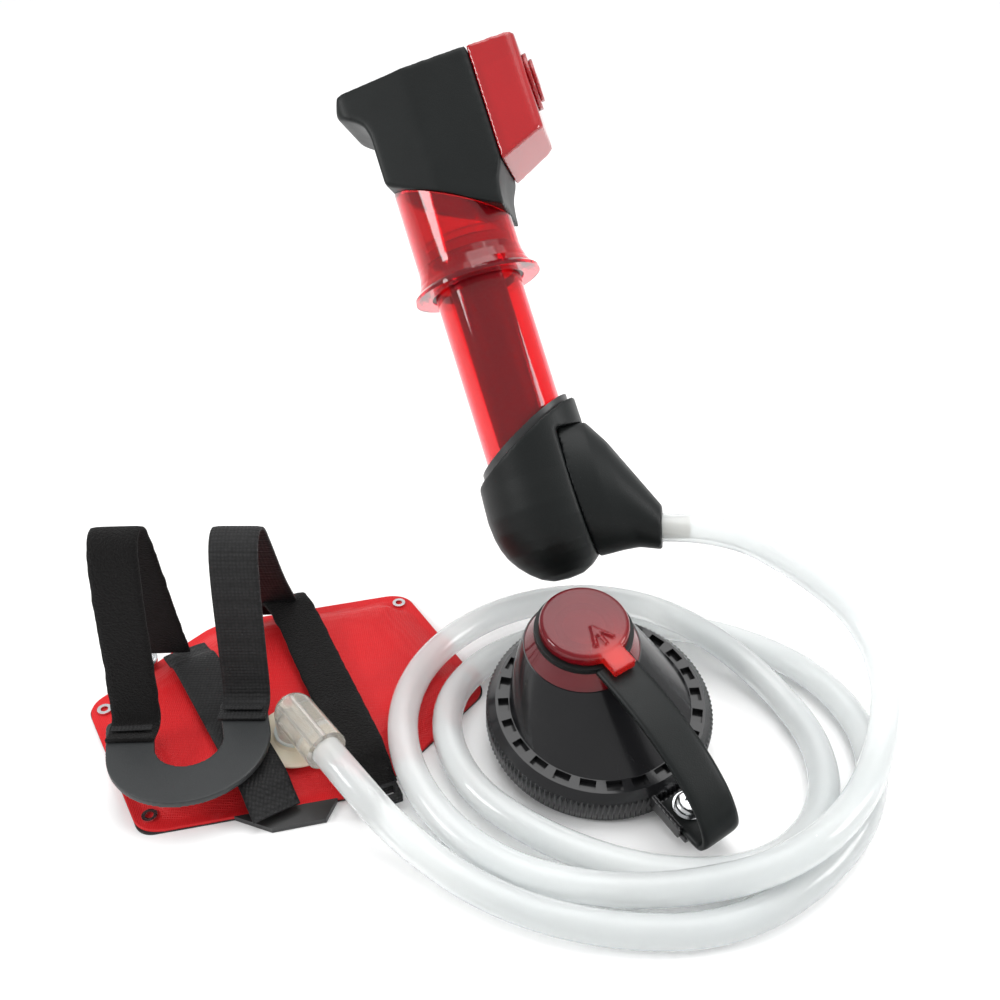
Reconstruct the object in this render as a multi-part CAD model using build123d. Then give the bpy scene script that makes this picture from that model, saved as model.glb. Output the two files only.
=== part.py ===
from build123d import *
import math
import os

# Pump water filter kit: hand pump, hose, bottle adapter and pre-filter pad.
# Millimetres, +Z up. The origin is on the floor below the middle of the kit without its hose.

# Hand pump: x runs toward the end cap and the hose outlet, z runs up the stroke axis.
PUMP_AT = (57.2, -14.2, 32.8)
PUMP_X = (0.937, 0.0237, 0.3497)
PUMP_AXIS = (-0.2967, 0.5840, 0.7559)
HEAD_TOP = 177.0
TUBE_R = 15.0
TUBE_BORE_R = 13.4
TUBE_TOP = 120.0
SLEEVE_R = 18.0
CORE_R = 16.2
CORE_BORE_R = 15.3
RUNNING_GAP = 0.05
LIP_Z = 103.0
LIP_R = 21.9

# Hose
HOSE_D = 9.5
HOSE_BORE_D = 6.35

# Bottle adapter: x runs toward the tether's lug, z runs up the bottle's axis.
ADAPTER_AT = (64.6, -54.5, 7.2)
ADAPTER_X = (0.5653, -0.8048, -0.1807)
ADAPTER_AXIS = (0.018, -0.207, 0.978)
RING_R = 34.5
RING_BORE_R = 31.5
RING_H = 12.0
SPOUT_X = -11.0
BAND_W = 12.5
BAND_T = 2.0

# Pre-filter pad: x runs along its length.
PAD_AT = (-35.9, -38.5)
PAD_TURN = 31.0
PAD_CROWN = 7.2
STRAP_W = 14.5
STRAP_T = 1.4

os.makedirs("parts", exist_ok=True)

pump = Plane(origin=PUMP_AT, x_dir=PUMP_X, z_dir=PUMP_AXIS).location
adapter = Plane(origin=ADAPTER_AT, x_dir=ADAPTER_X, z_dir=ADAPTER_AXIS).location
pad = Location((PAD_AT[0], PAD_AT[1], 0), (0, 0, PAD_TURN))


def save(node, shape, place=Location()):
    """Write one named piece, moved into the shared frame."""
    export_step(place * shape, f"parts/{node}.step")


def disc(radius, low, high, x=0.0, y=0.0):
    return Pos(x, y, low) * Cylinder(radius, high - low, align=(Align.CENTER, Align.CENTER, Align.MIN))


def ring(outer, inner, low, high, x=0.0, y=0.0):
    return disc(outer, low, high, x, y) - disc(inner, low - 1, high + 1, x, y)


def turned(points):
    """A solid of revolution from (radius, height) points."""
    outline = [(r, 0, z) for r, z in points]
    return revolve(make_face(Polyline(*outline, close=True)), Axis.Z)


def side_slab(points, half_depth):
    """A side view outline, (x, z) points, given depth both ways along y."""
    outline = [(x, 0, z) for x, z in points]
    return extrude(make_face(Polyline(*outline, close=True)), half_depth, both=True)


def hulled(sketches, height):
    """The convex outline round several flat shapes, raised to a height."""
    edges = [edge for sketch in sketches for edge in sketch.edges()]
    return extrude(make_hull(edges), height)


def bent_strip(points, thickness, width, radius):
    """A band of even thickness that follows (x, z) points, with its width along y."""
    line = FilletPolyline(*[(x, 0, z) for x, z in points], radius=radius)
    start = Plane(origin=line @ 0, z_dir=line % 0, x_dir=(0, 1, 0))
    return sweep(start * Rectangle(width, thickness), path=line)


# ---------------------------------------------------------------- pump handle

# Hidden rigid liner that slides on the inner tube and ties the sleeve to the head.
head_core = ring(CORE_R, CORE_BORE_R, LIP_Z + 3, 168) + ring(CORE_R, 4, 168, 170)
save("head_core", head_core, pump)

# The head is the meeting of its side view and its plan view.
head_side = side_slab(
    [
        (-24.5, HEAD_TOP), (22, HEAD_TOP), (22, 137), (19.4, 131.7), (18.5, 126.4), (18.5, 122.3),
        (-17.4, 141.9), (-17.4, 159), (-18.4, 163.6), (-21, 166.2), (-26.4, 169.6), (-27.2, 171.5),
    ],
    20,
)
head_plan = hulled([
    Circle(17.4),
    Pos(-22.2, 11) * Circle(5),
    Pos(-22.2, -11) * Circle(5),
    Pos(16, 0) * Rectangle(12, 31),
    Pos(24, 0) * Rectangle(2, 29),
], HEAD_TOP + 1)
grip = head_side & head_plan
grip = grip - disc(CORE_R, 100, 170) - disc(9, 169, 174)
save("grip", grip, pump)

# Clear red end cap on the hose side of the head.
cap_side = side_slab([(22, HEAD_TOP), (38, HEAD_TOP), (38, 143.2), (22.8, 137), (22, 137)], 20)
cap_plan = hulled([
    Pos(22.5, 0) * Rectangle(1, 29.3),
    Pos(34.2, 9.5) * Circle(4),
    Pos(34.2, -9.5) * Circle(4),
], HEAD_TOP + 1)
end_cap = cap_side & cap_plan
save("end_cap", end_cap, pump)

boss_place = Pos(38, 0, 163.2) * Rot(0, 90, 0)
save("outlet_boss", boss_place * ring(9.6, 2.2, 0, 1.5), pump)
save("outlet_plug", boss_place * ring(7.2, 2.2, 1.5, 2.8), pump)

# Outer sleeve with its flared lip, cut off aslant where the grip's rubber starts.
sleeve = turned([
    (CORE_R, LIP_Z), (LIP_R, LIP_Z), (LIP_R, LIP_Z + 1.1), (20.6, 105.2), (19.2, 107.6), (18.3, 110.7),
    (SLEEVE_R, 113), (SLEEVE_R, 142), (CORE_R, 142),
])
above_joint = side_slab([(-30, 148.7), (30, 115.95), (30, 190), (-30, 190)], 30)
save("sleeve", sleeve - above_joint, pump)
save("guide_ring", ring(CORE_R, TUBE_R + RUNNING_GAP, LIP_Z + 0.5, LIP_Z + 3), pump)
save("outlet_valve", disc(7, 170.1, 171.6), pump)

# ---------------------------------------------------------------- pump barrel

save("inner_tube", ring(TUBE_R, TUBE_BORE_R, 26, TUBE_TOP), pump)
save("piston_seal", ring(CORE_BORE_R - RUNNING_GAP, TUBE_R, 114, 117), pump)
save("cartridge_shell", ring(9.4, 8.6, 30, 114), pump)
save("fibre_bundle", disc(8.5, 30.2, 113.8), pump)
save("cartridge_foot", ring(13.2, 3, 26, 30), pump)
save("cartridge_head", ring(13.2, 3, 114, 118), pump)

# Lower housing: a ball-ended shell, cut aslant at its collar and flat where the boot starts.
ball = turned([
    (0, 0), (5.2, 0.5), (9, 2.3), (12.3, 5), (15.3, 8.3), (17.6, 11.8), (19.1, 15.6), (20, 19.6),
    (20.5, 25.4), (20.2, 31.5), (19.9, 36), (19.6, 60), (0, 60),
])
collar_cut = side_slab([(-30, 31.6), (30, 62.8), (30, 90), (-30, 90)], 40)
boot_side = Pos(12 + 30, 0, 48 - 60) * Box(60, 80, 120)
boot_lid = Pos(0, 0, 48 + 30) * Box(200, 80, 60)
tube_bore = disc(TUBE_R, 26, 80)
chamber = disc(11, 14, 27) + disc(3.2, 8, 15) + Pos(20, 0, 10.6) * Rot(0, 90, 0) * disc(3.2, -20, 12)
housing = ball - collar_cut - tube_bore - chamber
save("housing", housing - boot_side, pump)

# Boot: blends from the housing's side to the round hose exit.
EXIT_AT = (34.4, 0, 7.0)
EXIT_DIR = (0.955, 0, -0.296)
boot = loft([
    Plane(origin=(12, 0, 29.5), x_dir=(0, 1, 0), z_dir=(1, 0, 0)) * Ellipse(16.3, 25.5),
    Plane(origin=(20.5, 0, 26.0), x_dir=(0, 1, 0), z_dir=(1, 0, 0)) * Ellipse(14.0, 22.4),
    Plane(origin=(25.5, 0, 21.4), x_dir=(0, 1, 0), z_dir=(1, 0, 0)) * Ellipse(11.6, 18.4),
    Plane(origin=EXIT_AT, x_dir=(0, 1, 0), z_dir=EXIT_DIR) * Circle(7.2),
], ruled=True)
exit_plane = Plane(origin=EXIT_AT, x_dir=(0, 1, 0), z_dir=EXIT_DIR).location
barb = exit_plane * (disc(3.1, -14, 9) - disc(1.8, -15, 10))
boot = boot - boot_lid - tube_bore - disc(11, 14, 27) - exit_plane * disc(3.1, -60, 1)
save("boot", boot, pump)
save("hose_barb", barb, pump)

# Collar band: a slanted ring that closes the housing's mouth round the tube.
band_low = side_slab([(-30, 31.6), (30, 62.8), (30, 0), (-30, 0)], 40)
band_high = side_slab([(-30, 34.4), (30, 65.6), (30, 99), (-30, 99)], 40)
save("collar_band", ring(17.4, TUBE_R, 30, 80) - band_low - band_high, pump)

save("valve_seat", ring(11, 4, 16, 18), pump)
save("inlet_valve", disc(8, 18.1, 19.6), pump)

# ---------------------------------------------------------------- hose

# Route from the elbow on the pad to the pump: straight runs joined by tangent arcs.
elbow_exit = Vector(-17.03, -76.42, 17.0)
elbow_way = Vector(0.6018, -0.7986, 0)
boot_exit = (pump * Pos(*EXIT_AT)).position
exit_way = (pump * Pos(EXIT_AT[0] + 9.55, 0, EXIT_AT[2] - 2.96)).position - boot_exit
route = [
    elbow_exit, elbow_exit + elbow_way * 14, (6, -101, 9), (31, -118.5, 4.75), (63, -129, 4.75), (96, -128, 4.75),
    (125, -109.5, 4.75), (144, -85, 4.75), (150, -57, 4.75), (139, -29, 4.75), (114, -10, 4.75),
    (83, -3, 4.75), (53, -9, 4.75), (27, -26, 7), (15, -52, 8.5), (23, -79, 5.5), (46, -98.5, 4.75),
    (77, -111.5, 4.75), (108, -109.5, 4.75), (128.5, -90.5, 4.75), (133.5, -64, 4.75), (125, -38, 4.75),
    (107, -18.5, 11), (85, -6.5, 15.6), (58, -2, 16), (30, -8, 12.5), (9, -30, 12), (2, -59, 11.5),
    (10, -85, 7.5), (30, -106, 4.75), (58, -117, 6), (86, -120, 10.8), (112, -114.5, 14.6),
    (133, -98, 15.4), (148, -73, 15.4), (157, -47, 17), (153, -24, 25), (133, -12.5, 37),
    boot_exit + exit_way.normalized() * 20, boot_exit,
]
route = [Vector(p) for p in route]


def bend_radii(points):
    """Each bend takes as large a radius as 0.45 of its shorter run allows."""
    radii = []
    for before, here, after in zip(points, points[1:], points[2:]):
        come = here - before
        leave = after - here
        half_turn = math.radians(come.get_angle(leave)) / 2
        radii.append(0.45 * min(come.length, leave.length) / math.tan(half_turn))
    return radii


radii = bend_radii(route)
centre_line = FilletPolyline(*route, radius=radii)
hose_start = Plane(origin=centre_line @ 0, z_dir=centre_line % 0)
hose = sweep(hose_start * (Circle(HOSE_D / 2) - Circle(HOSE_BORE_D / 2)), path=centre_line)
save("hose", hose)
print("hose bend radii", [round(r) for r in radii])
print("hose length", round(centre_line.length, 1), "volume", round(hose.volume),
      "expected", round(centre_line.length * math.pi * (HOSE_D**2 - HOSE_BORE_D**2) / 4))

# ---------------------------------------------------------------- bottle adapter

# Threaded ring: a deep skirt with a deck that carries two dozen moulded pockets.
skirt = turned([
    (RING_BORE_R, 0), (RING_R - 0.6, 0), (RING_R, 0.6), (RING_R, 9.4), (RING_R - 2.2, RING_H),
    (26, RING_H), (26, 8.6), (30.6, 8.6), (30.6, 7.0), (RING_BORE_R, 7.0),
])
pockets = PolarLocations(29.8, 24) * Box(3.2, 4.8, 4.0)
skirt = skirt - [Pos(0, 0, RING_H) * p for p in pockets]
save("thread_ring", skirt, adapter)
save("gasket", ring(30.6, 26.5, 7.3, 8.6), adapter)

# Cone: leans back from the tether's side, so its spout is off the ring's centre.
cone = loft([Pos(0, 0, RING_H) * Circle(28), Pos(-7.2, 0, 21) * Circle(22.4), Pos(SPOUT_X, 0, 28) * Circle(18)])
cone_hollow = loft([Pos(0, 0, RING_H) * Circle(26), Pos(-7.2, 0, 21) * Circle(20.4), Pos(SPOUT_X, 0, 28) * Circle(16)])
save("cone", cone - cone_hollow, adapter)

neck = loft([Pos(SPOUT_X, 0, 28) * Circle(17.6), Pos(SPOUT_X, 0, 33) * Circle(14.6)])
save("spout_neck", neck - disc(9, 20, 40, SPOUT_X), adapter)
save("spout_lip", ring(12.2, 9, 33, 35.2, SPOUT_X), adapter)

# Lid with a round plug below and a latch tab toward the tether.
lid = disc(13.6, 35.3, 39.3, SPOUT_X)
lid = fillet(lid.edges().group_by(Axis.Z)[-1], 1.6)
tab = Pos(SPOUT_X + 15, 0, 37.6) * Box(9, 7.5, 3.0)
ribs = [Pos(SPOUT_X + 3.5, 0, 39.5) * Rot(0, 0, a) * Pos(3.2, 0, 0) * Box(7.5, 0.9, 1.4) for a in (-28, 0, 28)]
lid = lid + tab + ribs
save("lid", lid, adapter)
save("lid_plug", ring(8.9, 6.5, 32.0, 35.3, SPOUT_X), adapter)

# Tether: collar round the spout, arm, and a foot screwed to a lug on the ring.
save("tether_collar", ring(15.0, 12.4, 33.2, 35.2, SPOUT_X), adapter)
arm = bent_strip([(4.1, 34.2), (28, 31.0), (48.0, 22.0), (53.4, 12.6)], BAND_T, BAND_W, 6)
save("tether_arm", arm - disc(15.05, 30, 40, SPOUT_X), adapter)
foot = bent_strip([(53.4, 11.9), (52.6, 7.8), (36.0, 7.8)], BAND_T, BAND_W, 3)
save("tether_foot", foot - disc(2.1, 0, 20, 41.5), adapter)

lug = Pos(40.0, 0, 5.6) * Box(17, 13, 2.4)
lug = lug + [Pos(40, y, 8.2) * Box(13, 1.5, 5.0) for y in (7.1, -7.1)]
lug = lug - disc(RING_R, 0, RING_H) - disc(2.1, 0, 20, 41.5)
save("lug", lug, adapter)
save("washer", ring(4.6, 2.1, 8.8, 9.4, 41.5), adapter)
screw = disc(2.0, 3.6, 9.4, 41.5) + fillet(disc(4.0, 9.4, 11.6, 41.5).edges().group_by(Axis.Z)[-1], 1.4)
screw = screw - extrude(Pos(41.5, 0, 10.6) * RegularPolygon(1.5, 6), 2)
save("screw", screw, adapter)

# ---------------------------------------------------------------- pre-filter pad

corners = [(-58, -30), (8, -51), (58, -30), (58, 30), (-8, 49), (-58, 30)]
outline = fillet(make_face(Polyline(*corners, close=True)).vertices(), 6)
outline = make_face(outline.edges()) if not isinstance(outline, Sketch) else outline


def pillow(inset_low, inset_high, low, high):
    """A cushion that narrows from one inset of the pad's outline to another."""
    foot_face = offset(outline, -inset_low)
    head_face = offset(outline, -inset_high)
    return loft([Pos(0, 0, low) * foot_face, Pos(0, 0, high) * head_face])


foam = pillow(5, 20, 0.8, PAD_CROWN - 0.8)
face = extrude(Pos(0, 0, 0.8) * outline, 0.8) + pillow(4, 19.2, 0.8, PAD_CROWN) - foam
save("pad_back", extrude(outline, 0.8), pad)
save("foam_core", foam, pad)
save("pad_face", face, pad)
hem_line = extrude(Pos(0, 0, 1.6) * (outline - offset(outline, -2.5)), 0.3)
save("hem", hem_line, pad)
save("eyelets", Compound([ring(2.3, 1.2, 1.9, 2.5, x, y) for x in (-53.5, 53.5) for y in (-25.5, 25.5)]), pad)

# Filter port: mesh disc, flange, dome and elbow, turned toward the hose.
PORT_AT = (-28.5, -61.2)
port = Location((PORT_AT[0], PORT_AT[1], PAD_CROWN), (0, 0, -53.0))
save("mesh_disc", disc(11, 0, 0.4), port)
save("flange", turned([(0, 0.4), (13.4, 0.4), (13.4, 0.9), (12.6, 1.35), (7.6, 1.6), (7.2, 2.6), (0, 2.6)]), port)
ELBOW_R = 6.4
ELBOW_RUN = 19.06
barrel_way = Pos(0, 0, 9.8) * Rot(0, 90, 0)
elbow = disc(ELBOW_R, 2.6, 9.8) + Pos(0, 0, 9.8) * Sphere(ELBOW_R)
elbow = elbow + barrel_way * (disc(ELBOW_R, 0, ELBOW_RUN) + disc(3.1, ELBOW_RUN - 1, ELBOW_RUN + 4))
save("elbow", elbow - barrel_way * disc(2.0, -4, ELBOW_RUN + 6), port)
save("elbow_seal", ring(7.2, ELBOW_R, 2.6, 3.3), port)

# Straps that lie across the pad, each with its standing loop above the same end.


def strap_place(start, end):
    """Location at the start point with x running toward the end point."""
    way = math.degrees(math.atan2(end[1] - start[1], end[0] - start[0]))
    return Location((start[0], start[1], 0), (0, 0, way)), math.dist(start, end)


left_lay, left_run = strap_place((-75.0, -17.5), (-31.0, -88.5))
right_lay, right_run = strap_place((-43.0, 5.5), (-3.5, -79.0))
STRAP_Z = PAD_CROWN + 2.6
save("strap_left", bent_strip([(0, 3.7), (15, STRAP_Z), (left_run - 10, STRAP_Z), (left_run, 3.9)],
                              STRAP_T, STRAP_W, 5), left_lay)
save("strap_right", bent_strip([(0, 3.7), (15, STRAP_Z), (right_run - 12, STRAP_Z), (right_run, 3.9)],
                               STRAP_T, STRAP_W, 5), right_lay)
hem_tab = make_face(Polyline((-34, -36), (-2, -46), (-9.5, -52.8), (-24.5, -48.2), close=True))
save("strap_tab", extrude(hem_tab, 1.8) - extrude(outline, 9), pad)
save("strap_keeper", Pos(right_run + 3.8, 0, 3.6) * (Box(6, 13, 3.0) - Box(3.0, 10, 5.0)), right_lay)

# U-shaped plate that both loops are sewn to.
u_place = Location((-59.0, -71.0, 13.6), (0, 0, 16.0))
u_flat = Circle(24) - Pos(0, 30) * Rectangle(60, 60) + [Pos(x, 7) * Rectangle(14, 14.4) for x in (-17, 17)]
u_plate = extrude(u_flat - Circle(10) - Pos(0, 8) * Rectangle(20, 20), 2.0)
u_plate = fillet(u_plate.edges().filter_by(Axis.Z).group_by(Axis.Y)[-1], 2.0)
save("u_plate", u_plate, u_place)

# Standing loops: x here runs away from the plate.
loop_left = Location((-76.8, -63.0, 0), (0, 0, 93.0))
loop_right = Location((-44.8, -54.0, 0), (0, 0, 90.0))
save("loop_left", bent_strip([(-9, 16.5), (1.5, 16.6), (5, 40), (13, 73), (24, 73), (33, 44), (42.0, 6.8)],
                             STRAP_T, STRAP_W, [4, 30, 5, 5, 30]), loop_left)
save("loop_right", bent_strip([(-9, 16.5), (1.5, 16.6), (4, 40), (10, 68.5), (22, 68.5), (36, 42), (56.0, 7.6)],
                              STRAP_T, STRAP_W, [4, 30, 5, 5, 30]), loop_right)
save("bar_tacks", Compound([loop_left * Pos(-5, 0, 17.6) * Box(2, 12, 0.4),
                            loop_right * Pos(-5, 0, 17.6) * Box(2, 12, 0.4)]))

save("strap_ring", Torus(5.2, 1.0), Location((-89.5, -21.5, 3.1)))
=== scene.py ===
import math

import bmesh
import bpy
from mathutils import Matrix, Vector, noise


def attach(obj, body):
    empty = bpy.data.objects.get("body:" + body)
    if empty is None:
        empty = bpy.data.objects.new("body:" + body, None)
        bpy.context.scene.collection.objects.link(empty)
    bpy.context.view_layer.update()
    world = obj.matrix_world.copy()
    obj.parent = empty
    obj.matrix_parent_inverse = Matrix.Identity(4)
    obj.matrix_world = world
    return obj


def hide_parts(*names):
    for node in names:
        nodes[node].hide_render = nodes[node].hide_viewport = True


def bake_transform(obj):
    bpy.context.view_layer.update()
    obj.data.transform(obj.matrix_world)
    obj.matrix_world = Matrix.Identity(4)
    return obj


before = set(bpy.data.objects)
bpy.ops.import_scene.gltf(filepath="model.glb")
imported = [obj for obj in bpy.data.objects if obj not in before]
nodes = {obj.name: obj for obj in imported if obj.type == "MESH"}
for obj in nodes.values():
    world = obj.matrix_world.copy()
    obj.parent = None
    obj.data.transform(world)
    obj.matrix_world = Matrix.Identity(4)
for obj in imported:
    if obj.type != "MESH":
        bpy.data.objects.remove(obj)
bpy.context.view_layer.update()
scene = bpy.context.scene
scene.view_settings.view_transform = "Standard"
scene.view_settings.look = "None"


class Value:
    """A shader socket that takes part in Python arithmetic."""

    def __init__(self, tree, socket):
        self.tree = tree
        self.socket = socket

    def math(self, operation, *others, swapped=False):
        node = self.tree.nodes.new("ShaderNodeMath")
        node.operation = operation
        terms = [self, *others]
        if swapped:
            terms.reverse()
        for place, term in zip(node.inputs, terms):
            if isinstance(term, Value):
                self.tree.links.new(term.socket, place)
            else:
                place.default_value = term
        return Value(self.tree, node.outputs[0])

    def __add__(self, other):
        return self.math("ADD", other)

    def __radd__(self, other):
        return self.math("ADD", other, swapped=True)

    def __sub__(self, other):
        return self.math("SUBTRACT", other)

    def __rsub__(self, other):
        return self.math("SUBTRACT", other, swapped=True)

    def __mul__(self, other):
        return self.math("MULTIPLY", other)

    def __rmul__(self, other):
        return self.math("MULTIPLY", other, swapped=True)

    def __truediv__(self, other):
        return self.math("DIVIDE", other)

    def __rtruediv__(self, other):
        return self.math("DIVIDE", other, swapped=True)

    def __pow__(self, other):
        return self.math("POWER", other)


class Look:
    """A procedural material: a Principled shader and the maps that feed it."""

    def __init__(self, name, **constants):
        self.material = bpy.data.materials.new(name)
        self.material.use_nodes = True
        self.tree = self.material.node_tree
        self.shader = self.tree.nodes["Principled BSDF"]
        for key, value in constants.items():
            self.shader.inputs[key.replace("_", " ")].default_value = value

    def node(self, kind, output=0, settings=None, **inputs):
        node = self.tree.nodes.new(kind)
        for key, value in (settings or {}).items():
            setattr(node, key, value)
        for key, value in inputs.items():
            self.feed(node.inputs[key.replace("_", " ")], value)
        return Value(self.tree, node.outputs[output])

    def feed(self, place, value):
        if isinstance(value, Value):
            self.tree.links.new(value.socket, place)
        else:
            place.default_value = value

    def set(self, name, value):
        self.feed(self.shader.inputs[name], value)

    def place(self):
        return self.node("ShaderNodeTexCoord", "Object")

    def noise(self, scale, detail=3.0, rough=0.5, at=None):
        at = at or self.place()
        return self.node("ShaderNodeTexNoise", "Fac", Vector=at, Scale=scale, Detail=detail, Roughness=rough)

    def mix(self, factor, low, high):
        node = self.tree.nodes.new("ShaderNodeMix")
        node.data_type = "RGBA"
        self.feed(node.inputs["Factor"], factor)
        self.feed(node.inputs[6], low)
        self.feed(node.inputs[7], high)
        return Value(self.tree, node.outputs[2])

    def tint(self, factor, low, high):
        self.set("Base Color", self.mix(factor, low, high))

    def cells(self, scale):
        """Distance to the nearest thread crossing of a plain weave."""
        return self.node("ShaderNodeTexVoronoi", "Distance", Vector=self.place(), Scale=scale,
                         Randomness=0.15)

    def bump(self, height, depth, strength=1.0):
        self.set("Normal", self.node("ShaderNodeBump", Height=height, Distance=depth, Strength=strength))


def dress(names, look):
    """Gives CAD nodes a material and smooth shading."""
    for name in names:
        mesh = nodes[name].data
        mesh.materials.clear()
        mesh.materials.append(look.material)
        mesh.shade_smooth()
        mesh.set_sharp_from_angle(angle=math.radians(32))


def soften(name, voxel, rounds):
    """Rounds a CAD node's moulded edges with modifiers, leaving its own mesh as it is."""
    remesh = nodes[name].modifiers.new("Even mesh", "REMESH")
    remesh.mode = "VOXEL"
    remesh.voxel_size = voxel
    remesh.use_smooth_shade = True
    smooth = nodes[name].modifiers.new("Rounded edges", "SMOOTH")
    smooth.factor = 0.5
    smooth.iterations = rounds


def piece(name, build, look, body, replaced=()):
    """Turns a bmesh into a piece of the object that rides on a CAD body."""
    mesh = bpy.data.meshes.new(name)
    build.to_mesh(mesh)
    build.free()
    mesh.materials.append(look.material)
    thing = bpy.data.objects.new(name, mesh)
    scene.collection.objects.link(thing)
    mesh.shade_smooth()
    if body:
        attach(thing, body)
    if replaced:
        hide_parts(*replaced)
    return thing


# ------------------------------------------------------------------ camera, floor and light
# A flat pale studio floor. Soft lights stand overhead, at the left and at the right, and an even
# fill comes from above, as for a catalogue picture.
camera_data = bpy.data.cameras.new("camera")
camera_data.lens = 39.6
camera_data.sensor_width = 36
camera = bpy.data.objects.new("camera", camera_data)
camera.location = (0.034, -0.3055, 0.257)
camera.rotation_euler = (math.radians(56.5), 0, 0)
scene.collection.objects.link(camera)
scene.camera = camera

floor_look = Look("studio floor", Base_Color=(0.97, 0.97, 0.97, 1), Roughness=0.6)
floor_look.set("Roughness", 0.55 + 0.1 * floor_look.noise(6))
bpy.ops.mesh.primitive_plane_add(size=12)
floor = bpy.context.object
floor.name = "studio_floor"
floor.data.materials.append(floor_look.material)

for title, spot, turn, size, power in (
    ("overhead", (0.1, 0.25, 1.1), (math.radians(-12), 0, 0), 0.8, 4),
    ("left", (-0.9, -0.3, 0.6), (0, math.radians(-60), math.radians(12)), 0.35, 5),
    ("right", (0.9, -0.1, 0.5), (0, math.radians(62), 0), 0.35, 3.5),
):
    light_data = bpy.data.lights.new(title, "AREA")
    light_data.size = size
    light_data.energy = power
    light = bpy.data.objects.new(title, light_data)
    light.location = spot
    light.rotation_euler = turn
    scene.collection.objects.link(light)

sky_data = bpy.data.lights.new("even fill", "SUN")
sky_data.angle = math.radians(70)
sky_data.energy = 1.1
sky = bpy.data.objects.new("even fill", sky_data)
sky.rotation_euler = (math.radians(-15), math.radians(8), 0)
scene.collection.objects.link(sky)

world = bpy.data.worlds.new("studio")
scene.world = world
world.use_nodes = True
world.node_tree.nodes["Background"].inputs["Color"].default_value = (1, 1, 1, 1)
world.node_tree.nodes["Background"].inputs["Strength"].default_value = 0.66

# ------------------------------------------------------------------ hose
# Extruded milky silicone tube, 9.5 mm outside and 6.35 mm inside. It is pushed on the elbow's
# nipple at one end and on the pump's barb at the other, and lies in two loose turns between them.
pump_x = Vector((0.937, 0.0237, 0.3497))
pump_up = Vector((-0.2967, 0.5840, 0.7559))
pump_at = Vector((0.0572, -0.0142, 0.0328))
boot_exit = pump_at + pump_x * 0.0344 + pump_up * 0.0070
exit_way = (pump_x * 0.955 - pump_up * 0.296).normalized()
elbow_exit = Vector((-0.01703, -0.07642, 0.0170))
elbow_way = Vector((0.6018, -0.7986, 0))
route = [
    elbow_exit, elbow_exit + elbow_way * 0.014, (0.006, -0.101, 0.009), (0.031, -0.1185, 0.00475),
    (0.063, -0.129, 0.00475), (0.096, -0.128, 0.00475), (0.125, -0.1095, 0.00475),
    (0.144, -0.085, 0.00475), (0.150, -0.057, 0.00475), (0.139, -0.029, 0.00475),
    (0.114, -0.010, 0.00475), (0.083, -0.003, 0.00475), (0.053, -0.009, 0.00475),
    (0.027, -0.026, 0.007), (0.015, -0.052, 0.0085), (0.023, -0.079, 0.0055),
    (0.046, -0.0985, 0.00475), (0.077, -0.1115, 0.00475), (0.108, -0.1095, 0.00475),
    (0.1285, -0.0905, 0.00475), (0.1335, -0.064, 0.00475), (0.125, -0.038, 0.00475),
    (0.107, -0.0185, 0.011), (0.085, -0.0065, 0.0156), (0.058, -0.002, 0.016),
    (0.030, -0.008, 0.0125), (0.009, -0.030, 0.012), (0.002, -0.059, 0.0115),
    (0.010, -0.085, 0.0075), (0.030, -0.106, 0.00475), (0.058, -0.117, 0.006),
    (0.086, -0.120, 0.0108), (0.112, -0.1145, 0.0146), (0.133, -0.098, 0.0154),
    (0.148, -0.073, 0.0154), (0.157, -0.047, 0.017), (0.153, -0.024, 0.025),
    (0.133, -0.0125, 0.037), boot_exit + exit_way * 0.020, boot_exit,
]
hose_look = Look("milky silicone", Roughness=0.2, IOR=1.22, Transmission_Weight=0.62, Coat_Weight=0.5)
hose_cloud = hose_look.noise(35, 4)
hose_look.tint(hose_cloud, (0.86, 0.90, 0.91, 1), (0.97, 0.98, 0.97, 1))
hose_look.set("Roughness", 0.16 + 0.14 * hose_look.noise(180))
hose_look.bump(hose_look.noise(60, 2), 0.0004, 0.3)


def tube_curve(name, radius, look):
    """A round tube along the hose's route."""
    data = bpy.data.curves.new(name, "CURVE")
    data.dimensions = "3D"
    line = data.splines.new("NURBS")
    line.points.add(len(route) - 1)
    for point, at in zip(line.points, route):
        point.co = (*at, 1)
    line.order_u = 3
    line.use_endpoint_u = True
    line.resolution_u = 12
    data.bevel_depth = radius
    data.bevel_resolution = 8
    data.materials.append(look.material)
    thing = bpy.data.objects.new(name, data)
    scene.collection.objects.link(thing)
    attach(thing, "kit")
    return thing


hose = tube_curve("hose_skin", 0.00475, hose_look)
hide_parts("hose")
bore_look = Look("hose bore", Roughness=0.3, Base_Color=(0.97, 0.98, 0.98, 1),
                 Transmission_Weight=0.85, IOR=1.1)
bore_look.set("Roughness", 0.2 + 0.2 * bore_look.noise(90))
bore = tube_curve("hose_bore", 0.0026, bore_look)

# ------------------------------------------------------------------ pump grip, housing and boot
# Soft black rubber moulded over the head's rigid core. The lower housing and the hose-side cover,
# the boot, are shells with the same satin skin: a very fine grain and a faint dusty bloom.
rubber_look = Look("soft black rubber", Roughness=0.42, Specular_IOR_Level=0.22)
bloom = rubber_look.noise(28, 4)
rubber_look.tint(bloom, (0.004, 0.005, 0.005, 1), (0.009, 0.011, 0.011, 1))
rubber_look.set("Roughness", 0.36 + 0.14 * rubber_look.noise(120, 3))
rubber_look.bump(rubber_look.noise(2600, 2), 0.00012, 0.35)
dress(["grip", "housing", "boot"], rubber_look)
soften("grip", 0.0006, 34)
soften("housing", 0.0006, 6)
soften("boot", 0.0006, 8)

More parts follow.
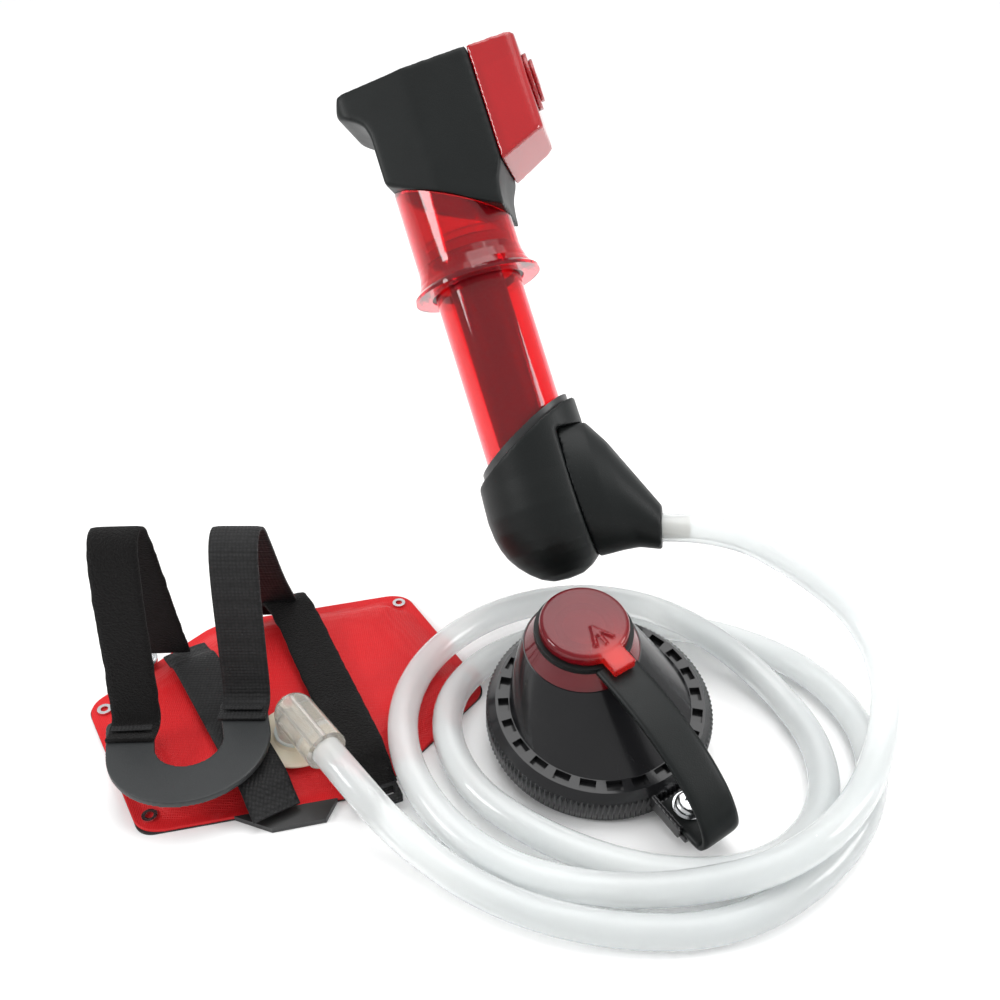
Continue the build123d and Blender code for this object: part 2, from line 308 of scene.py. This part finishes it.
# ------------------------------------------------------------------ hard black parts
# Injection-moulded black plastic: the collar band, valve seat, guide ring, the pad's moulded tab,
# and the cartridge's body and ends. The lid plug's black is painted shade under the lid's disc.
hard_look = Look("hard black plastic", Roughness=0.35)
hard_look.tint(hard_look.noise(40), (0.012, 0.012, 0.013, 1), (0.03, 0.03, 0.03, 1))
hard_look.set("Roughness", 0.3 + 0.15 * hard_look.noise(200))
dress(["collar_band", "lid_plug", "valve_seat", "guide_ring", "cartridge_shell", "cartridge_foot",
       "cartridge_head", "strap_tab"], hard_look)

# ------------------------------------------------------------------ clear red parts
# Tinted clear plastic, moulded: the sleeve, the head's core and the inner tube. The end cap, its
# boss and its plug are thicker and let less light through.
red_look = Look("clear red plastic", Roughness=0.08, IOR=1.12, Transmission_Weight=0.93, Coat_Weight=0.8)
red_look.tint(red_look.noise(16, 3), (0.80, 0.020, 0.040, 1), (0.92, 0.035, 0.065, 1))
red_look.set("Roughness", 0.06 + 0.10 * red_look.noise(70, 4))
dress(["sleeve", "head_core", "inner_tube"], red_look)
cap_look = Look("red end cap", Roughness=0.16, IOR=1.49, Transmission_Weight=0.35, Coat_Weight=0.5)
cap_look.tint(cap_look.noise(18, 3), (0.36, 0.001, 0.004, 1), (0.60, 0.004, 0.010, 1))
cap_look.set("Roughness", 0.14 + 0.12 * cap_look.noise(90, 4))
dress(["end_cap", "outlet_boss", "outlet_plug"], cap_look)
soften("end_cap", 0.0006, 12)
soften("outlet_boss", 0.0004, 4)
soften("outlet_plug", 0.0004, 4)

# ------------------------------------------------------------------ adapter ring and cone
# Glossy moulded black plastic. The ring screws on a bottle, and its rim has fine upright knurling
# for wet hands. The cone carries the spout, and the lug holds the tether's foot.
gloss_look = Look("glossy black plastic", Roughness=0.16, Specular_IOR_Level=0.35, Coat_Weight=0.12)
gloss_look.tint(gloss_look.noise(30), (0.006, 0.006, 0.007, 1), (0.014, 0.014, 0.015, 1))
gloss_look.set("Roughness", 0.14 + 0.12 * gloss_look.noise(60, 4))
gloss_look.bump(gloss_look.noise(90, 2), 0.0002, 0.15)
dress(["thread_ring", "cone", "lug"], gloss_look)
soften("lug", 0.0003, 3)

adapter_up = Vector((0.018, -0.207, 0.978)).normalized()
adapter_x = Vector((0.5653, -0.8048, -0.1807))
adapter_x = (adapter_x - adapter_up * adapter_x.dot(adapter_up)).normalized()
adapter_y = adapter_up.cross(adapter_x)
adapter_at = Vector((0.0646, -0.0545, 0.0072))


def on_adapter(x, y, z):
    """A point of the shared frame from the adapter's own millimetres."""
    return adapter_at + (adapter_x * x + adapter_y * y + adapter_up * z) * 0.001


# The flip lid, its spout lip and neck are a darker red, brightest where light gathers in the tab.
lid_look = Look("dark red lid", Roughness=0.14, IOR=1.3, Transmission_Weight=0.55, Coat_Weight=0.35)
tab_gap = lid_look.node("ShaderNodeVectorMath", "Value", {"operation": "DISTANCE"}, Vector=lid_look.place())
tab_gap.socket.node.inputs[1].default_value = on_adapter(4.5, 0, 37.5)
near_tab = 1.0 / (1.0 + (tab_gap * 190.0) ** 3.0)
lid_tone = lid_look.mix(lid_look.noise(45, 3), (0.12, 0.002, 0.008, 1), (0.34, 0.006, 0.02, 1))
lid_look.tint(near_tab, lid_tone, (0.95, 0.02, 0.01, 1))
lid_look.set("Roughness", 0.1 + 0.1 * lid_look.noise(80))
# The spout neck takes this dark red as painted shade inside the spout.
dress(["lid", "spout_lip", "spout_neck"], lid_look)
soften("lid", 0.00035, 2)

knurl = bmesh.new()
teeth = 132
root_radius = 34.35
tooth_height = 0.75
rows = []
for height, depth in ((0.9, 0.0), (1.5, 1.0), (9.0, 1.0), (9.6, 0.0)):
    row = []
    for step in range(teeth * 4):
        angle = 2 * math.pi * step / (teeth * 4)
        crest = (0.0, 0.7, 1.0, 0.7)[step % 4]
        radius = root_radius + tooth_height * depth * crest
        row.append(knurl.verts.new(on_adapter(radius * math.cos(angle), radius * math.sin(angle), height)))
    rows.append(row)
for low, high in zip(rows, rows[1:]):
    for step in range(teeth * 4):
        after = (step + 1) % (teeth * 4)
        knurl.faces.new((low[step], low[after], high[after], high[step]))
piece("knurled_rim", knurl, gloss_look, "adapter")

# ------------------------------------------------------------------ silicone and steel
# Pale moulded silicone seals and valves, and a polished steel screw, washer, eyelets and strap
# ring. The hollow fibres inside the cartridge are matt off-white.
seal_look = Look("pale silicone", Roughness=0.45, Subsurface_Weight=0.2)
seal_look.tint(seal_look.noise(50), (0.62, 0.62, 0.58, 1), (0.78, 0.78, 0.74, 1))
dress(["gasket", "outlet_valve", "inlet_valve", "piston_seal", "elbow_seal"], seal_look)
steel_look = Look("polished steel", Metallic=1.0, Roughness=0.2)
steel_look.tint(steel_look.noise(300), (0.62, 0.63, 0.65, 1), (0.80, 0.81, 0.82, 1))
steel_look.set("Roughness", 0.12 + 0.2 * steel_look.noise(500, 4))
dress(["screw", "washer", "strap_ring", "eyelets"], steel_look)
fibre_look = Look("hollow fibre", Roughness=0.8)
fibre_look.tint(fibre_look.noise(900), (0.6, 0.6, 0.56, 1), (0.85, 0.85, 0.8, 1))
dress(["fibre_bundle"], fibre_look)

# ------------------------------------------------------------------ clear elbow and flange
# Clear, slightly yellowed moulding that carries water from the pad into the hose. The flange under
# it is an opaque cream moulding, and the mesh disc lies in its opening.
clear_look = Look("clear moulding", Roughness=0.12, IOR=1.3, Transmission_Weight=0.8, Coat_Weight=0.5)
clear_look.tint(clear_look.noise(40), (0.80, 0.77, 0.70, 1), (0.93, 0.91, 0.87, 1))
clear_look.set("Roughness", 0.10 + 0.12 * clear_look.noise(150))
dress(["elbow", "hose_barb", "mesh_disc"], clear_look)
flange_look = Look("cream flange", Roughness=0.3, Subsurface_Weight=0.2)
flange_look.tint(flange_look.noise(60), (0.74, 0.58, 0.42, 1), (0.86, 0.74, 0.58, 1))
dress(["flange"], flange_look)

# ------------------------------------------------------------------ bands: tether, straps and loops
# Flat flexible bands, each swept along its own path: the rubber tether, and four tapes sewn to the
# pad. The left loop and the right strap are fuzzy loop tape, and the other two are webbing.


def band(points, width, thickness, across, edge=0.0):
    """A mesh band through points, rounded at its corners, with its width along the across vector."""
    steps = 12
    columns = 10
    points = [Vector(p) for p in points]
    path = []
    for k in range(len(points) - 1):
        before = points[max(k - 1, 0)]
        start = points[k]
        end = points[k + 1]
        after = points[min(k + 2, len(points) - 1)]
        squared = 2 * before - 5 * start + 4 * end - after
        cubed = 3 * start - before - 3 * end + after
        for step in range(steps):
            t = step / steps
            path.append(0.5 * ((2 * start) + (end - before) * t + squared * t * t + cubed * t * t * t))
    path.append(points[-1])
    build = bmesh.new()
    rings = []
    for k, at in enumerate(path):
        way = (path[min(k + 1, len(path) - 1)] - path[max(k - 1, 0)]).normalized()
        side = (across - way * across.dot(way)).normalized()
        up = side.cross(way).normalized()
        ring = []
        for face in (1, -1):
            for column in range(columns + 1):
                share = (column / columns - 0.5) * face
                wave = edge * noise.noise(at * 300 + side * share * 3)
                bow = 1 - 0.35 * (abs(share) * 2) ** 8
                ring.append(build.verts.new(
                    at + side * (width * share + wave) + up * (thickness * 0.5 * face * bow)
                ))
        rings.append(ring)
    count = len(rings[0])
    for low, high in zip(rings, rings[1:]):
        for k in range(count):
            build.faces.new((low[k], low[(k + 1) % count], high[(k + 1) % count], high[k]))
    build.faces.new(rings[0][::-1])
    build.faces.new(rings[-1])
    return build


# The tether is one flexible black band: it runs from the spout's collar over the ring's edge,
# folds, and returns to the lug, where a steel screw holds it.
tether_build = band(
    [on_adapter(*p) for p in ((3.2, 0, 34.2), (16, 0, 33.6), (28, 0, 31.6), (40, 0, 27.4), (49, 0, 21.6),
                              (54.0, 0, 14.4), (53.2, 0, 9.0), (48, 0, 7.8), (42, 0, 7.8), (36.4, 0, 7.8))],
    0.0125, 0.0020, adapter_y,
)
tether = piece("tether_band", tether_build, rubber_look, None, ("tether_arm", "tether_foot"))
tuple(on_adapter(50, 0, 8))
tuple(on_adapter(50, 0, 19))
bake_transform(tether)
dress(["tether_collar"], rubber_look)

# Black nylon webbing: flat, with a plain weave of cords about a millimetre apart.
web_look = Look("black webbing", Roughness=0.7, Specular_IOR_Level=0.3)
weave = web_look.cells(900.0)
web_look.tint(weave, (0.022, 0.022, 0.023, 1), (0.002, 0.002, 0.002, 1))
web_look.set("Roughness", 0.55 + 0.3 * web_look.noise(500))
web_look.bump(1.0 - weave, 0.0006, 0.8)

# Fuzzy loop side of hook-and-loop tape: dead matt black with a soft uneven pile.
fuzz_look = Look("fuzzy loop tape", Roughness=0.95, Specular_IOR_Level=0.1,
                 Sheen_Weight=0.06, Sheen_Roughness=0.5)
pile = fuzz_look.noise(1500, 4, 0.7)
fuzz_look.tint(pile, (0.002, 0.002, 0.002, 1), (0.012, 0.011, 0.011, 1))
fuzz_look.bump(pile, 0.0012, 1.0)


def mm(points):
    return [Vector(p) * 0.001 for p in points]


piece("left_loop", band(
    mm([(-76.4, -72, 16.5), (-76.7, -63.6, 16.7), (-77, -59, 32), (-77.3, -54.5, 56), (-77.6, -50.2, 69),
        (-77.9, -44.5, 73.2), (-78.2, -38.8, 69), (-78.4, -34, 54), (-78.7, -27.5, 28), (-79, -21, 6.8)]),
    0.0145, 0.0014, Vector((1, 0.05, 0)), edge=0.0003), fuzz_look, "kit", ("loop_left",))
piece("right_loop", band(
    mm([(-44.8, -63, 16.5), (-44.8, -54, 16.7), (-44.8, -50.5, 32), (-44.8, -46.8, 54), (-44.8, -43.2, 65),
        (-44.8, -38, 68.6), (-44.8, -32, 65.4), (-44.8, -26.5, 56), (-44.8, -14, 32), (-44.8, 2, 7.8)]),
    0.0145, 0.0014, Vector((1, 0, 0))), web_look, "kit", ("loop_right",))
piece("left_strap", band(
    mm([(-75, -17.5, 3.9), (-71, -24, 6.3), (-67.1, -30.2, 9.6), (-56, -48.2, 10.0), (-45, -66, 10.0),
        (-36.3, -80, 9.7), (-33.5, -84.5, 6.6), (-31, -88.5, 3.9)]),
    0.0145, 0.0014, Vector((0.85, 0.527, 0))), web_look, "kit", ("strap_left",))
piece("right_strap", band(
    mm([(-47.5, 3.0, 3.9), (-45.0, 2.6, 9.5), (-41.4, -2.0, 13.6), (-35.6, -11.5, 12.6), (-26, -30.9, 10.3),
        (-16, -52.3, 10.1), (-8.6, -68.1, 9.6), (-6, -73.6, 6.6), (-3.5, -79, 3.9)]),
    0.0145, 0.0016, Vector((0.906, 0.423, 0)), edge=0.0003), fuzz_look, "kit", ("strap_right",))
dress(["strap_keeper", "bar_tacks"], web_look)

# ------------------------------------------------------------------ U-shaped plate
# Stiff dark grey plastic sheet, cut to a U with rounded edges and a fine matt grain. Both loops are
# sewn to its arms.
plate_look = Look("dark grey sheet", Roughness=0.5)
plate_look.tint(plate_look.noise(60), (0.012, 0.014, 0.015, 1), (0.020, 0.022, 0.023, 1))
plate_look.set("Roughness", 0.42 + 0.16 * plate_look.noise(300))
plate_look.bump(plate_look.noise(1800), 0.0002, 0.3)
dress(["u_plate"], plate_look)
soften("u_plate", 0.0004, 3)

# ------------------------------------------------------------------ pre-filter pad
# Coated red nylon over foam, welded all round to a black underside in a thin hem. The weave is
# fine enough to show as cloth, and the weld pulls short puckers into the edge.
cloth_look = Look("red coated nylon", Roughness=0.55, Specular_IOR_Level=0.35, Coat_Weight=0.05)
cells = cloth_look.cells(1500.0)
tone = cloth_look.noise(14, 4)
cloth_look.tint(tone * 0.6 + cells * 0.4, (0.74, 0.006, 0.010, 1), (0.50, 0.002, 0.005, 1))
cloth_look.set("Roughness", 0.45 + 0.25 * cells)
cloth_look.bump(1.0 - cells, 0.0004, 0.7)
under_look = Look("black underside", Roughness=0.8, Base_Color=(0.012, 0.012, 0.012, 1))
under_look.bump(under_look.noise(1600), 0.0003, 0.5)
dress(["pad_back", "foam_core"], under_look)

pad_turn = math.radians(31)
long_way = Vector((math.cos(pad_turn), math.sin(pad_turn), 0))
wide_way = Vector((-math.sin(pad_turn), math.cos(pad_turn), 0))
pad_at = Vector((-0.0359, -0.0385, 0))
corners = [(-58, -30), (8, -51), (58, -30), (58, 30), (-8, 49), (-58, 30)]


def edge_gap(x, y):
    """Distance in millimetres from a point inside the pad to its nearest edge."""
    gaps = []
    for (ax, ay), (bx, by) in zip(corners, corners[1:] + corners[:1]):
        length = math.hypot(bx - ax, by - ay)
        gaps.append(((bx - ax) * (y - ay) - (by - ay) * (x - ax)) / length)
    return min(gaps)


pad_build = bmesh.new()
rings = 44
around = 240
hem_width = 2.6
hem_top = 1.7
cushion_rise = 5.6
shoulder = 7.5
height_limit = 7.5
eyelet_x = 53.5
eyelet_y = 25.5
rim = []
for k in range(around):
    share = k / around * len(corners)
    side = int(share)
    ax, ay = corners[side]
    bx, by = corners[(side + 1) % len(corners)]
    t = share - side
    rim.append((ax + (bx - ax) * t, ay + (by - ay) * t))
smooth_rim = []
for k in range(around):
    near = [rim[(k + j) % around] for j in range(-4, 5)]
    smooth_rim.append((sum(p[0] for p in near) / 9, sum(p[1] for p in near) / 9))
layers = []
for ring in range(rings):
    reach = 1 - (ring / rings) ** 1.35
    layer = []
    for x, y in smooth_rim:
        px = x * reach
        py = y * reach
        gap = max(edge_gap(px, py) - hem_width, 0)
        rise = cushion_rise * (1 - math.exp(-((gap / shoulder) ** 1.5)))
        eyelet = math.hypot(abs(px) - eyelet_x, abs(py) - eyelet_y)
        rise *= 1 - math.exp(-((eyelet / 5.0) ** 4))
        at = Vector((px * 0.02, py * 0.02, 0.3))
        pucker = 0.5 * noise.noise(at * 9) * math.exp(-gap / 9) * min(gap, 1)
        ripple = 0.45 * noise.noise(at * 3) * min(gap / 8, 1)
        height = hem_top + rise + (pucker + ripple) * min(eyelet / 8, 1)
        lift = Vector((0, 0, min(height, height_limit) * 0.001))
        layer.append(pad_build.verts.new(pad_at + long_way * px * 0.001 + wide_way * py * 0.001 + lift))
    layers.append(layer)
for low, high in zip(layers, layers[1:]):
    for k in range(around):
        pad_build.faces.new((low[k], low[(k + 1) % around], high[(k + 1) % around], high[k]))
pad_build.faces.new(layers[-1])
skirt = []
skirt_lift = Vector((0, 0, 0.0006))
for x, y in smooth_rim:
    skirt.append(pad_build.verts.new(pad_at + long_way * x * 0.001 + wide_way * y * 0.001 + skirt_lift))
for k in range(around):
    pad_build.faces.new((skirt[k], skirt[(k + 1) % around], layers[0][(k + 1) % around], layers[0][k]))
pad = piece("pad_top", pad_build, cloth_look, "kit", ("pad_face", "hem", "foam_core"))
